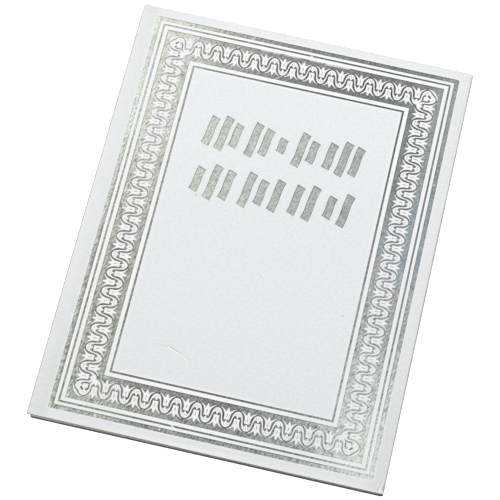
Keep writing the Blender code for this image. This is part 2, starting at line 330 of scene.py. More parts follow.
def mirrored(line):
    return [(-x, y) for x, y in reversed(line)]


def transposed(line):
    """Mirror image in the corner's diagonal."""
    return [(y, x) for x, y in reversed(line)]


def about_diagonal(line):
    """A line that ends on the corner's diagonal, with its mirror image after it."""
    return joined(line, transposed(line))


def corner_arc(x, y, radius, start):
    """Points of a quarter turn about a centre, from a start in degrees."""
    angles = [radians(start + 30 * part) for part in range(4)]
    return [(x + radius * cos(angle), y + radius * sin(angle)) for angle in angles]


def around(items):
    """Each item with the next one, and the last with the first."""
    return zip(items, items[1:] + items[:1])


def resample(line, step):
    """Closed line with extra points, so that none is further than step from the next."""
    result = []
    for (x0, y0), (x1, y1) in around(line):
        count = max(1, round(hypot(x1 - x0, y1 - y0) / step))
        for number in range(count):
            t = number / count
            result.append((x0 + (x1 - x0) * t, y0 + (y1 - y0) * t))
    return result


def signed_area(line):
    return 0.5 * sum(x0 * y1 - x1 * y0 for (x0, y0), (x1, y1) in around(line))


def moved_inwards(line, distance):
    """Each point of a closed line moved along its own normal, inwards when distance is positive."""
    turn = 1 if signed_area(line) > 0 else -1
    result = []
    for index, (x, y) in enumerate(line):
        x0, y0 = line[index - 1]
        x1, y1 = line[(index + 1) % len(line)]
        a = Vector((x - x0, y - y0)).normalized()
        b = Vector((x1 - x, y1 - y)).normalized()
        normal = Vector((-(a.y + b.y), a.x + b.x))
        if normal.length < 1e-6:
            normal = Vector((-a.y, a.x))
        normal.normalize()
        spread = max(0.5, abs(normal.dot(Vector((-a.y, a.x)))))
        step = (turn * normal.x * distance / spread, turn * normal.y * distance / spread)
        result.append((x + step[0], y + step[1]))
    return result


def between(stops, place):
    """Value at a place along a list of (place, value) stops, with soft steps."""
    if place <= stops[0][0]:
        return stops[0][1]
    for (x0, y0), (x1, y1) in zip(stops, stops[1:]):
        if place <= x1:
            t = (place - x0) / (x1 - x0)
            return y0 + (y1 - y0) * t * t * (3 - 2 * t)
    return stops[-1][1]


def soft_step(low, high, value):
    """0 at low, 1 at high, with soft ends. The two may be given in either order."""
    t = min(1.0, max(0.0, (value - low) / (high - low)))
    return t * t * (3 - 2 * t)


def margin_tone(x, y):
    """How dark the card is in the margin round the frame: a little everywhere, more by the sides
    towards head and tail, and by the head near the fore-edge.
    """
    side = soft_step(52, 56, abs(x)) * (0.05 + 0.06 * soft_step(20, 75, abs(y)))
    side *= 1 - 0.6 * soft_step(40, 50, x) * soft_step(-50, 0, y)
    head = 0.04 * soft_step(-20, -55, x) * soft_step(70, 77, y)
    return 0.02 + side + head


def front_rim(u, v):
    """How dark the rim of the front card is: dark at the fore-edge, light at head and tail."""
    if u > SEAM - 0.3:
        return 0.0
    if u > 59.2 and v < 1 - HALF_LENGTH:
        return 0.9
    return 0.85 if u < FRONT_LOW[0] + 0.8 else 0.3


def back_rim(u, v):
    """The rim of the back card is evenly dark."""
    return 0.0 if u > SEAM - 0.3 else 0.5


def front_fold(u, v):
    """Height, painted highlight and painted shade over the fold: a crease by the head, painted
    dark, and a band and a line of painted shade by the side.
    """
    crease = exp(-((u - FOLD - 0.15) / 0.16) ** 2) * soft_step(25, 40, v)
    # A band of painted shade on the side of the fold
    painted = soft_step(58.7, 59.1, u) * soft_step(59.9, 59.6, u)
    painted *= soft_step(32, 18, v) * soft_step(-55, -38, v)
    # A dark line of painted shade where the fold turns away from the light
    line = soft_step(59.45, 59.62, u) * (1 - 0.6 * soft_step(59.95, 60.3, u))
    # A painted highlight where the fold starts to turn, beside the line
    bright = 0.7 * soft_step(58.8, 59.2, u) * (1 - line)
    return -0.02 * crease, bright, 0.2 * crease + 0.1 * painted + 0.78 * line


def back_fold(u, v):
    """The back's fold is even, with no painted highlight or shade."""
    return 0.0, 0.0, 0.0


def foil_sheen(x, y):
    """Painted reflection: how pale the foil is painted at a place on the cover, mixed from the four
    sides by their nearness.
    """
    if abs(x) < 36 and -16 < y < 48:
        return STROKE_SHEEN
    half_width, half_length = COVER_HALVES
    sides = (
        (half_width + x, between(FORE_SHEEN, y)),
        (half_width - x, between(SPINE_SHEEN, y)),
        (half_length - y, between(HEAD_SHEEN, x)),
        (half_length + y, between(TAIL_SHEEN, x)),
    )
    weights = [1 / (max(distance, 0) + 2) ** 4 for distance, _ in sides]
    tone = sum(weight * tone for weight, (_, tone) in zip(weights, sides)) / sum(weights)
    # The painted reflection is darker on the inner half of the frame, in the order of the sides
    shades = (
        0.06 * soft_step(20, 38, y), 0.02 + 0.11 * soft_step(0, 35, y),
        0.06 * soft_step(-20, 0, x), 0.1 * soft_step(46, 30, abs(x)),
    )
    nearest = min(distance for distance, _ in sides)
    for (distance, _), shade in zip(sides, shades):
        if distance == nearest:
            tone -= shade * soft_step(9, 16, distance)
    # The painted reflection is two-toned on the outer band at the fore-edge, and a pale strip of it
    # runs beside it near the tail
    two_tone = 0.35 + 0.65 * soft_step(45, 5, y)
    tone += two_tone * 0.16 * soft_step(-52.8, -53.6, x)
    tone -= two_tone * 0.1 * soft_step(-53.3, -52.9, x) * soft_step(-51.2, -52.6, x)
    pale_strip = 0.17 * soft_step(-47.6, -49.0, x) - 0.05
    tone += pale_strip * soft_step(-49.5, -49.2, x) * soft_step(-38, -42, x) * soft_step(0, -25, y)
    return max(0.02, tone)


class SheetPlan:
    """Points, lines and areas of one face of the card, before its triangles are made.

    Each point has a height above the card's face and three tones: painted shade on the foil, a
    painted highlight on the card, and darkening of the card at its rim, partly painted shade.
    """

    def __init__(self):
        self.points = []
        self.heights = []
        self.light_and_rim = []
        self.lines = []
        self.areas = []

    def point(self, x, y, height, groove=0.0, pressed=0.0, rim=0.0):
        self.points.append((x, y))
        self.heights.append(height)
        light_and_rim = (groove, pressed, rim)
        self.light_and_rim.append([value(x, y) if callable(value) else value for value in light_and_rim])
        return len(self.points) - 1

    def loop(self, outline, height, finish=None, **light_and_rim):
        """Closed line. With a finish, the area inside it gets that finish."""
        indices = [self.point(x, y, height, **light_and_rim) for x, y in outline]
        self.lines.extend(around(indices))
        if finish:
            self.areas.append((indices, finish))
        return indices

    def triangles(self):
        """Points, heights, painted light and rim tones, faces and their finishes, and where each
        planned point went.
        """
        coords = [Vector(point) for point in self.points]
        verts, _, tris, origin, _, _ = delaunay_2d_cdt(coords, self.lines, [], 1, 1e-5, True)
        output = {}
        heights = []
        light_and_rim = []
        for index, (place, sources) in enumerate(zip(verts, origin)):
            if not sources:
                raise RuntimeError(f"Outlines cross at {place.x:.2f}, {place.y:.2f}")
            for source in sources:
                output[source] = index
            heights.append(min(self.heights[source] for source in sources))
            light_and_rim.append(self.light_and_rim[sources[0]])
        finishes = self.finishes(tris, output)
        tris = [tri for tri, finish in zip(tris, finishes) if finish]
        finishes = [finish for finish in finishes if finish]
        return [tuple(vert) for vert in verts], heights, light_and_rim, tris, finishes, output

    def finishes(self, tris, output):
        """Finish of each triangle: that of the last area that holds it, or None outside the card.

        The triangles are walked from the card's rim, and each area is entered or left where the
        walk crosses its outline.
        """
        fences = {}
        for number, (indices, _) in enumerate(self.areas):
            for pair in around([output[index] for index in indices]):
                fences[frozenset(pair)] = number
        edges = [[frozenset(pair) for pair in around(tri)] for tri in tris]
        neighbours = {}
        for number, pairs in enumerate(edges):
            for pair in pairs:
                neighbours.setdefault(pair, []).append(number)
        rim = [pair for pair, sides in neighbours.items() if len(sides) == 1 and pair in fences][0]
        start = neighbours[rim][0]
        held = {start: frozenset((0,))}
        waiting = [start]
        while waiting:
            number = waiting.pop()
            for pair in edges[number]:
                crossed = {fences[pair]} if pair in fences else set()
                for other in neighbours[pair]:
                    if other not in held:
                        held[other] = held[number] ^ crossed
                        waiting.append(other)
        inside = [held[number] for number in range(len(tris))]
        return [self.areas[max(areas)][1] if areas else None for areas in inside]


def frame_edges(sizes, inset):
    """Left, right, low and high edge of the stamped frame, at an inset from its outer edge."""
    return (
        FRONT_LOW[0] + sizes.margin_fore_edge / MM + inset,
        SPINE_HIGH[0] - sizes.margin_spine / MM - inset,
        -HALF_LENGTH + sizes.margin_tail / MM + inset,
        HALF_LENGTH - sizes.margin_head / MM - inset,
    )


def frame_loop(sizes, inset, corner=0.0, wobble=0.0):
    """Rectangle of the stamped frame, anticlockwise, with a slightly uneven edge."""
    left, right, low, high = frame_edges(sizes, inset)
    outline = []
    for x, y, start in ((left, low, 180), (right, low, 270), (right, high, 0), (left, high, 90)):
        if corner:
            centre_x = x + corner * (1 if x == left else -1)
            centre_y = y + corner * (1 if y == low else -1)
            outline += corner_arc(centre_x, centre_y, corner, start)
        else:
            outline.append((x, y))
    outline = resample(outline, 1.3)
    if not wobble:
        return outline
    uneven = []
    for x, y in outline:
        shift = noise.noise_vector(Vector((x * 0.9, y * 0.9, inset)))
        uneven.append((x + wobble * shift.x, y + wobble * shift.y))
    return uneven


def ornament_sides(sizes):
    """Corner, direction, outward direction, repeats and pitch of the ornament on each side."""
    left, right, low, high = frame_edges(sizes, ORNAMENT_MIDDLE)
    across = max(2, round((right - left) / (2 * HALF_PITCH)))
    down = max(2, round((high - low) / (2 * HALF_PITCH)))
    return (
        ((left, high), (1, 0), (0, 1), across, (right - left) / across),
        ((right, high), (0, -1), (1, 0), down, (high - low) / down),
        ((right, low), (-1, 0), (0, -1), across, (right - left) / across),
        ((left, low), (0, 1), (-1, 0), down, (high - low) / down),
    )


def on_side(side, middle, line, rise=1):
    """A line of the motif, placed on a side about a middle given in repeats."""
    (x0, y0), (ax, ay), (ox, oy), _, pitch = side
    scale = pitch / (2 * HALF_PITCH)
    return [
        (
            x0 + ax * (middle * pitch + x * scale) + ox * y * rise,
            y0 + ay * (middle * pitch + x * scale) + oy * y * rise,
        )
        for x, y in line
    ]


def on_corner(side, next_side, line):
    """A line of the corner motif, placed where a side ends and the next one starts."""
    (x0, y0), (bx, by), _, _, next_pitch = next_side
    _, (ax, ay), _, _, pitch = side
    result = []
    for x, y in line:
        along = x * (pitch / (2 * HALF_PITCH) if x < 0 else 1)
        down = -y * (next_pitch / (2 * HALF_PITCH) if y < 0 else 1)
        result.append((x0 + ax * along + bx * down, y0 + ay * along + by * down))
    return result


def ribbon_outlines(sides):
    """Outer and inner edge of the wave ribbon, all round the frame.

    Each outline comes with the side of it that is card (1 inside, -1 outside), its depth as a
    share of the stamp's, and the finish inside it.
    """
    right_edge = smooth_line(RIBBON_EDGE)
    crown = joined(mirrored(right_edge), right_edge)
    trough = [(x, -y) for x, y in crown]
    outer_turn = about_diagonal(smooth_line(LOOP_HALF))
    # The last trough before a corner runs round it into the next side's first
    start = [(x - HALF_PITCH, y) for x, y in trough if x < -1.9]
    inner_turn = joined(start, about_diagonal(smooth_line(TROUGH_HALF)), transposed(start))
    outer = []
    inner = []
    for side, next_side in around(sides):
        repeats = side[3]
        for number in range(1, repeats):
            outer += on_side(side, number, crown)
        for number in range(1, repeats - 1):
            inner += on_side(side, number + 0.5, trough)
        outer += on_corner(side, next_side, outer_turn)
        inner += on_corner(side, next_side, inner_turn)
    return [(joined(outer), 1, 1.0, "card"), (joined(inner), -1, 1.0, "foil")]


def leaf_outlines(sides):
    """Palmettes and corner crescents, then the foil veins, fans and gaps in the card shapes."""
    half_leaf = smooth_line(PALMETTE_HALF)
    palmette = joined(half_leaf, mirrored(half_leaf))
    crescent_outer = smooth_line(CRESCENT_OUTER)
    crescent_inner = smooth_line(CRESCENT_INNER)
    crescent = joined(
        crescent_outer, transposed(crescent_outer),
        transposed(crescent_inner)[::-1], crescent_inner[::-1],
    )
    gap = about_diagonal(smooth_line(LOOP_GAP_HALF))
    eye = about_diagonal(smooth_line(LOOP_EYE_HALF))
    vein = lens((0, 0.05), (0, 1.85), 0.12)
    fans = [lens((0, 1.75), (0, 2.55), 0.09)]
    fans += [lens((sign * 0.48, 1.85), (sign * 0.84, 2.48), 0.075) for sign in (-1, 1)]
    loop_fans = [lens((-0.75, 1.75), (-1.0, 2.3), 0.06), lens((-0.1, 1.85), (-0.12, 2.6), 0.08)]
    leaves = []
    details = []
    for side, next_side in around(sides):
        repeats = side[3]
        # Leaves and the ribbon's fans stand both ways: in the troughs, then on the crowns
        for middles, rise, ends in (
            ([number + 0.5 for number in range(repeats)], 1, (0.5, repeats - 0.5)),
            (range(1, repeats), -1, ()),
        ):
            for middle in middles:
                leaves.append((on_side(side, middle, palmette, rise), 1, 1.0, "card"))
                details.append((on_side(side, middle, vein, rise), -1, 0.4, "foil"))
                for fan in fans if middle not in ends else ():
                    details.append((on_side(side, middle, fan, -rise), -1, 0.4, "foil"))
        leaves.append((on_corner(side, next_side, crescent), 1, 1.0, "card"))
        for fan in loop_fans:
            for line in (fan, transposed(fan)):
                details.append((on_corner(side, next_side, line), -1, 0.4, "foil"))
        details.append((on_corner(side, next_side, gap), -1, 1.0, "foil"))
        details.append((on_corner(side, next_side, eye), -1, 0.8, "foil"))
    return leaves + details


def lens(start, end, half_width):
    """Slender pointed outline between two points."""
    (x0, y0), (x1, y1) = start, end
    length = hypot(x1 - x0, y1 - y0)
    ax, ay = (x1 - x0) / length, (y1 - y0) / length
    outline = []
    for sign, parts in ((1, range(0, 6)), (-1, range(6, 0, -1))):
        for part in parts:
            t = part / 6
            width = sign * half_width * sin(pi * t) ** 0.8
            outline.append((x0 + ax * length * t - ay * width, y0 + ay * length * t + ax * width))
    return outline


def stroke_outlines(sizes):
    """Slanting strokes with nib-cut ends and slightly bowed sides, in two rows."""
    left, right, _, _ = frame_edges(sizes, 0)
    outlines = []
    for (row_middle, row_height), groups in zip(STROKE_ROWS, STROKE_GROUPS):
        strokes = sum(len(group) for group in groups)
        gaps = strokes - len(groups) + (len(groups) - 1) * GROUP_GAP
        gap = (ROW_LENGTH - STROKE_SLANT - strokes * STROKE_WIDTH) / gaps
        x = (left + right) / 2 - ROW_LENGTH / 2
        for group in groups:
            for share in group:
                outlines.append(stroke(x, HALF_LENGTH - row_middle, share, row_height))
                x += STROKE_WIDTH + gap
            x += gap * (GROUP_GAP - 1)
    return outlines


def stroke(x, middle, share, row_height):
    """One stroke whose left side starts at x, about the middle of its row."""
    height = share * row_height
    lean = STROKE_SLANT * share
    low, high = middle - height / 2, middle + height / 2
    right = x + STROKE_WIDTH
    return smooth_line((
        (x, low + STROKE_NIB), (right, low, 1),
        (right + lean * 0.28 + 0.14, low + height * 0.28),
        (right + lean * 0.68 - 0.14, low + height * 0.68),
        (right + lean, high - STROKE_NIB, 1), (x + lean, high, 1),
        (x + lean * 0.7 - 0.14, low + height * 0.7),
        (x + lean * 0.3 + 0.1, low + height * 0.3),
        (x, low + STROKE_NIB, 1),
    ), 0.5)[:-1]


def outline_tree(outlines):
    """Search tree of closely spaced points on some outlines."""
    points = [point for outline in outlines for point in resample(outline, 0.1)]
    tree = kdtree.KDTree(len(points))
    for index, (x, y) in enumerate(points):
        tree.insert((x, y, 0), index)
    tree.balance()
    return tree


class OrnamentTones:
    """How much painted shade darkens the foil round the ornament, by place on the cover."""

    def __init__(self, ribbon, leaves):
        self.ribbon = outline_tree([outline for outline, _, _, _ in ribbon])
        cards = [outline for outline, _, _, finish in leaves if finish == "card"]
        self.leaves = outline_tree(cards)

    def narrow(self, x, y):
        """1 in the narrow foil lines between ribbon and leaves, 0 in the open ground."""
        place = (x, y, 0)
        return soft_step(0.98, 0.66, self.ribbon.find(place)[2] + self.leaves.find(place)[2])

    def middle(self, x, y):
        """Away from the outlines."""
        return self.narrow(x, y) * (0.8 - 0.6 * soft_step(0.12, 0.4, foil_sheen(x, y)))

    def contour(self, x, y):
        """Along the outlines."""
        pale = soft_step(0.12, 0.4, foil_sheen(x, y))
        soft = 1 - 0.3 * soft_step(-25, -45, x) * soft_step(10, 40, y)
        return max(self.narrow(x, y) * (0.85 - 0.2 * pale), 0.1 + 0.4 * pale) * soft


def thin_line_tone(x, y):
    """How much painted shade darkens the middle of the outer line: less so to the fore-edge and
    where it is pale.
    """
    return 0.5 - 0.3 * soft_step(-20, -50, x) - 0.35 * soft_step(0.5, 0.9, foil_sheen(x, y))


def faded(tone):
    """Painted shade for the edge of a foil part, which fades where the foil is palest."""
    return lambda x, y: tone * (
        1 - 0.6 * soft_step(0.6, 0.92, foil_sheen(x, y)) - 0.9 * soft_step(-51.9, -52.2, x))


def stamp_front(plan, sizes):
    """Foil lines, ground, ornament and strokes of the front cover."""
    noise.seed_set(SEED)
    depth = sizes.stamp_depth / MM
    sides = ornament_sides(sizes)
    ribbon = ribbon_outlines(sides)
    leaves = leaf_outlines(sides)
    tones = OrnamentTones(ribbon, leaves)
    plan.loop(frame_loop(sizes, -1.3, 1.2), 0, "card", rim=margin_tone)
    # A painted highlight on the card just outside the frame
    plan.loop(frame_loop(sizes, -0.5, 0.9), 0, pressed=0.4, rim=margin_tone)
    # Each foil part: outer and inner corner, and how much painted shade darkens it at its outer and
    # inner edge and, where it is only a line, in its middle
    for part, corner, inner_corner, outside, inside, middle in (
        (BAND, 0.6, 0.15, 0.15, 0.5, None), (OUTER_LINE, 0, 0, 0.55, 0.55, thin_line_tone),
        (GROUND, 0, 0, 0.45, 0.45, None), (INNER_LINE, 0, 0, 0.6, 0.6, 0.4),
    ):
        start, end = part
        for inset, height, finish in ((start - WALL, 0, "foil"), (start + WALL, -depth, None)):
            outline = frame_loop(sizes, inset, corner, UNEVEN)
            plan.loop(outline, height, finish, groove=faded(outside), pressed=1)
        if middle:
            plan.loop(frame_loop(sizes, (start + end) / 2), -depth, groove=middle)
        else:
            plan.loop(frame_loop(sizes, start + 0.4, corner * 0.5), -depth)
            for outline, _, share, finish in ribbon if part == GROUND else ():
                plan.loop(outline, -depth * share, finish, groove=tones.contour, pressed=1)
            plan.loop(frame_loop(sizes, end - 0.4), -depth)
        for inset, height, finish in ((end - WALL, -depth, None), (end + WALL, 0, "card")):
            outline = frame_loop(sizes, inset, inner_corner, UNEVEN)
            plan.loop(outline, height, finish, groove=faded(inside), pressed=1)
    # A painted highlight on the card just inside the frame
    plan.loop(frame_loop(sizes, INNER_LINE[1] + 0.5), 0, pressed=0.5)
    plan.loop(frame_loop(sizes, INNER_LINE[1] + 1.3), 0)
    for outline, _, share, finish in leaves:
        groove = tones.contour if finish == "card" else 1 if share > 0.5 else 0.45
        plan.loop(outline, -depth * share, finish, groove=groove, pressed=1)
    add_relief(plan, ribbon + leaves, depth, tones.middle)
    # Each stroke has painted shade at its edge and a painted highlight on the card round it
    for outline in stroke_outlines(sizes):
        plan.loop(moved_inwards(outline, -0.3), 0)
        plan.loop(outline, 0, "foil", groove=0.8, pressed=0.8)
        plan.loop(moved_inwards(outline, 0.07), -depth, groove=0.8)
        plan.loop(moved_inwards(outline, 0.35), -depth)
    knock_corner(plan)


def knock_corner(plan):
    """A short crease where the spine was knocked at the tail, painted dark along its line as shade,
    with a painted highlight on the card beside it.
    """
    for side, height, light_and_rim in ((-0.18, 0, {}), (0, -0.1, {"rim": 1.0}), (0.2, 0, {"pressed": 2.5})):
        for part in range(9):
            plan.point(57.82 + 0.06 * part + side, -79.4 + 0.375 * part, height, **light_and_rim)
    for u, v in ((58.35, -79.3), (58.55, -78.6), (58.8, -79.4), (58.5, -77.7), (58.75, -78.9)):
        plan.point(u, v, 0.0, pressed=2.5)


def add_relief(plan, shapes, depth, middle_tone):
    """Rounded shoulders on the card side of each outline, and open foil on the other side."""
    tree = outline_tree([shape[0] for shape in shapes])
    # Each ring: distance from the outline, height, painted shade on the foil, painted highlight on
    # the card
    steps = (
        (0.08, -0.2 * depth, 0.0, 1.0),
        (0.3, 0.1 * depth, 0.0, 1.0),
        (-0.27, -depth, middle_tone, 0.0),
    )
    for distance, height, groove, pressed in steps:
        spacing = max(0.17, 0.7 * abs(distance))
        taken = set()
        for outline, card_side, share, _ in shapes:
            # Shallow shapes have no open foil, and are too small for the second shoulder
            if distance < 0 and share < 1 or distance > 0.1 and share < 0.9:
                continue
            for x, y in moved_inwards(outline, distance * card_side):
                cell = (round(x / spacing), round(y / spacing))
                if cell in taken or tree.find((x, y, 0))[2] < 0.93 * abs(distance):
                    continue
                taken.add(cell)
                low = height if share == 1 or distance < 0 else height * share
                plan.point(x, y, low, groove=groove, pressed=pressed)


class FlatCard:
    """One half of the cover laid flat: its edges, each a function of the other direction."""

    def __init__(self, fore, tail, head):
        self.fore = fore
        self.tail = tail
        self.head = head

    def ring(self, inset):
        """Outline at an inset, anticlockwise from the fore-edge's tail corner."""
        size = CARD_CORNER - inset
        low_x = self.fore(-HALF_LENGTH) + CARD_CORNER
        high_x = self.fore(HALF_LENGTH) + CARD_CORNER
        outline = corner_arc(low_x, self.tail(low_x) + CARD_CORNER, size, 180)
        outline += [(u, self.tail(u) + inset) for u in COLUMNS if u > low_x + 0.3]
        outline += [(SEAM, v) for v in ROWS if self.tail(SEAM) + 1 < v < self.head(SEAM) - 1]
        outline += [(u, self.head(u) - inset) for u in reversed(COLUMNS) if u > high_x + 0.3]
        outline += corner_arc(high_x, self.head(high_x) - CARD_CORNER, size, 90)
        outline += [(self.fore(v) + inset, v) for v in reversed(ROWS) if abs(v) < HALF_LENGTH - 1]
        return outline

    def grid(self, columns, margin=1.2):
        """Points of some columns that are clear of the card's edges."""
        return [
            (u, v) for u in columns for v in ROWS
            if self.fore(v) + margin < u < SEAM - 0.05
            and self.tail(u) + margin < v < self.head(u) - margin
        ]


def front_fore(v):
    """Fore-edge of the front card, which leans in towards the head."""
    return FRONT_LOW[0] + 0.006 + 0.34 * max(0.0, (v + 40) / 120) ** 1.3


def front_tail(u):
    return -HALF_LENGTH + 0.12 * (1 - between(((-25, 0), (5, 1)), u))


def back_fore(v):
    return BACK_LOW[0]


def back_tail(u):
    return -HALF_LENGTH + 0.09 * (1 - between(((0, 0), (50, 1)), u))


def square_head(u):
    return HALF_LENGTH


class CardMesh:
    """Points, painted light and rim tones, and faces of a whole card: outside, cut edge and inside.
    """

    def __init__(self, points, heights, light_and_rim, faces, finishes):
        self.verts = [(x, y, height) for (x, y), height in zip(points, heights)]
        self.light_and_rim = light_and_rim
        self.faces = faces
        self.finishes = finishes

    def point(self, x, y, height, *light_and_rim):
        self.verts.append((x, y, height))
        self.light_and_rim.append(light_and_rim)
        return len(self.verts) - 1

    def face(self, corners, finish):
        self.faces.append(corners)
        self.finishes.append(finish)

    def add_edge(self, card, last, rim_tone, edge_shade):
        """Rounded cut edge, ring by ring from the outside's last one. Returns its own last."""
        for inset, height, cut in EDGE_PROFILE:
            ring = [
                self.point(x, y, height, edge_shade, 0.0, max(cut, rim_tone(x, y)))
                for x, y in card.ring(inset)
            ]
            for index, corner in enumerate(last):
                following = (index + 1) % len(last)
                self.face((corner, ring[index], ring[following], last[following]), "edge")
            last = ring
        return last

    def add_inside(self, card, last, edge_shade):
        """Inside of the card, joined to the edge's last ring."""
        plan = SheetPlan()
        edge = plan.loop(card.ring(ROUNDED), 0, "inside")
        plan.loop(card.ring(CLEAN), 0)
        for u, v in card.grid(INSIDE_COLUMNS):
            plan.point(u, v, 0)
        points, _, _, faces, _, places = plan.triangles()
        shared = {places[index]: corner for index, corner in zip(edge, last)}
        numbers = []
        for index, (x, y) in enumerate(points):
            if index in shared:
                numbers.append(shared[index])
            else:
                # Painted shade on the inside along the tail
                darkened = edge_shade if y < 0.6 - HALF_LENGTH else 0.0
                numbers.append(self.point(x, y, -CARD, 0.0, 0.0, darkened))
        for face in faces:
            self.face(tuple(numbers[index] for index in reversed(face)), "inside")


def outside_plan(card, fold, rim_tone, stamp):
    """Plan of a card's outside, with the points along its edge. Only a stamped card is darkened in
    its margin and gets a painted highlight by its tail and fore-edge.
    """
    darkened = margin_tone if stamp else lambda u, v: 0.0

    # A painted highlight along the tail and the fore-edge of a stamped card
    def painted(u, v):
        at_edge = v < 1 - HALF_LENGTH or u < card.fore(v) + 0.6
        return 0.9 if stamp and at_edge else 0.0

    plan = SheetPlan()
    edge = plan.loop(card.ring(ROUNDED), 0, "card", rim=rim_tone)
    plan.loop(card.ring(WORN), 0, rim=lambda u, v: 0.3 * rim_tone(u, v) ** 2, pressed=painted)
    plan.loop(card.ring(CLEAN), 0, rim=darkened, pressed=painted)
    for u, v in card.grid(COLUMNS[:-1]):
        if u > 55.9:
            height, pressed, rim = fold(u, v)
            plan.point(u, v, height, pressed=pressed, rim=max(rim, darkened(u, v)))
        elif not stamp and round(u + 59) % 6 == 0:
            plan.point(u, v, 0)
    if stamp:
        stamp(plan)
    return plan, edge


def card_piece(name, lay, card, fold, rim_tone, edge_shade, materials, stamp=None):
    """Half of the cover as a piece, laid by a function of the flat place and the height."""
    plan, edge = outside_plan(card, fold, rim_tone, stamp)
    *parts, places = plan.triangles()
    whole = CardMesh(*parts)
    last = whole.add_edge(card, [places[index] for index in edge], rim_tone, edge_shade)
    whole.add_inside(card, last, edge_shade)
    finishes = [FINISHES.index(finish) for finish in whole.finishes]
    verts = [lay(*vert) for vert in whole.verts]
    piece = new_piece(name, verts, whole.verts, whole.faces, finishes, materials)
    write_vectors(piece.data, "light_and_rim", whole.light_and_rim)
    sheen = piece.data.attributes.new("sheen", "FLOAT", "POINT")
    sheen.data.foreach_set("value", [foil_sheen(x, y) for x, y, _ in whole.verts])
    return piece


def in_metres(points):
    return [(x * MM, y * MM, z * MM) for x, y, z in points]


def new_piece(name, verts, sheet, faces, finishes, materials):
    """Object from points in millimetres, which keeps each one's place on the flat sheet."""
    mesh = bpy.data.meshes.new(name)
    mesh.from_pydata(in_metres(verts), [], faces)
    if mesh.validate():
        raise RuntimeError(f"{name} has broken faces")
    for material in materials:
        mesh.materials.append(material)
    mesh.polygons.foreach_set("material_index", finishes)
    mesh.polygons.foreach_set("use_smooth", [True] * len(mesh.polygons))
    mesh.set_sharp_from_angle(angle=radians(SHARP))
    write_vectors(mesh, "sheet", in_metres(sheet))
    piece = bpy.data.objects.new(name, mesh)
    bpy.context.scene.collection.objects.link(piece)
    return piece


def write_vectors(mesh, name, vectors):
    attribute = mesh.attributes.new(name, "FLOAT_VECTOR", "POINT")
    attribute.data.foreach_set("vector", [value for vector in vectors for value in vector])


def lay_front(u, v, height):
    """Place on the front of the cover: the panel tilts on the fold, then the card turns down."""
    if u <= FOLD:
        slope = LIFT / (FOLD - FRONT_LOW[0])
        return u + (height - HINGE_RISE) * slope, v, STACK + height - (u - FOLD) * slope
    angle = (u - FOLD) / RADIUS
    return FOLD + (RADIUS + height) * sin(angle), v, RADIUS + (RADIUS + height) * cos(angle)


def lay_back(u, v, height):
    """Place on the back of the cover, whose outside faces down."""
    if u <= FOLD:
        return u, v, -height
    angle = (u - FOLD) / RADIUS
    return FOLD + (RADIUS + height) * sin(angle), v, RADIUS - (RADIUS + height) * cos(angle)


def leaf_profile(fore, bend, middle, outer, inner):
    """A folded leaf seen from its end: round the outside of the fold, and back inside it."""
    profile = []
    angles = [pi * part / LEAF_TURN_STEPS for part in range(1, LEAF_TURN_STEPS)]
    for radius, turn in ((outer, 1), (inner, -1)):
        line = [(x, middle + radius) for x in (fore, bend - 30, bend)]
        line += [(bend + radius * sin(angle), middle + radius * cos(angle)) for angle in angles]
        line += [(x, middle - radius) for x in (bend, bend - 30, fore)]
        profile += line[::turn]
    return profile


def folded_leaves(thickness):
    """Points, flat places, faces and finishes (0 face, 1 cut edge) of the nested leaves."""
    middle = (PAGES_LOW[2] + PAGES_HIGH[2]) / 2
    half = (PAGES_HIGH[2] - PAGES_LOW[2]) / 2
    length = PAGES_HIGH[1] - PAGES_LOW[1]
    count = int(half / (thickness + LEAF_GAP))
    verts, sheet, faces, finishes = [], [], [], []
    for number in range(count):
        outer = half - number * half / count
        fore = PAGES_LOW[0] + 0.09 * (number % 3) + 0.05 * number
        shift = 0.06 * ((number * 7) % 5) / 4
        profile = leaf_profile(fore, PAGES_HIGH[0] - half, middle, outer, outer - thickness)
        start = len(verts)
        size = len(profile)
        for row in range(LEAF_STEPS + 1):
            y = PAGES_LOW[1] + length * row / LEAF_STEPS
            end_shift = {0: shift, LEAF_STEPS: -shift}.get(row, 0)
            lean = max(0, 0.05 * noise.noise(Vector((y * 0.07, number * 3.1, 0))))
            for x, z in profile:
                verts.append((x + lean if x == fore else x, y + end_shift, z))
                sheet.append((x, y, z + number * 2))
        for row in range(LEAF_STEPS):
            for index in range(size):
                a = start + row * size + index
                b = start + row * size + (index + 1) % size
                faces.append((a, b, b + size, a + size))
                finishes.append(1 if index in (size // 2 - 1, size - 1) else 0)
        for row, turn in ((0, 1), (LEAF_STEPS, -1)):
            first = start + row * size
            for index in range(size // 2 - 1):
                near, far = first + index, first + size - 1 - index
                faces.append((near, near + 1, far - 1, far)[::turn])
                finishes.append(1)
    return verts, sheet, faces, finishes


# ---------------------------------------------------------------- materials


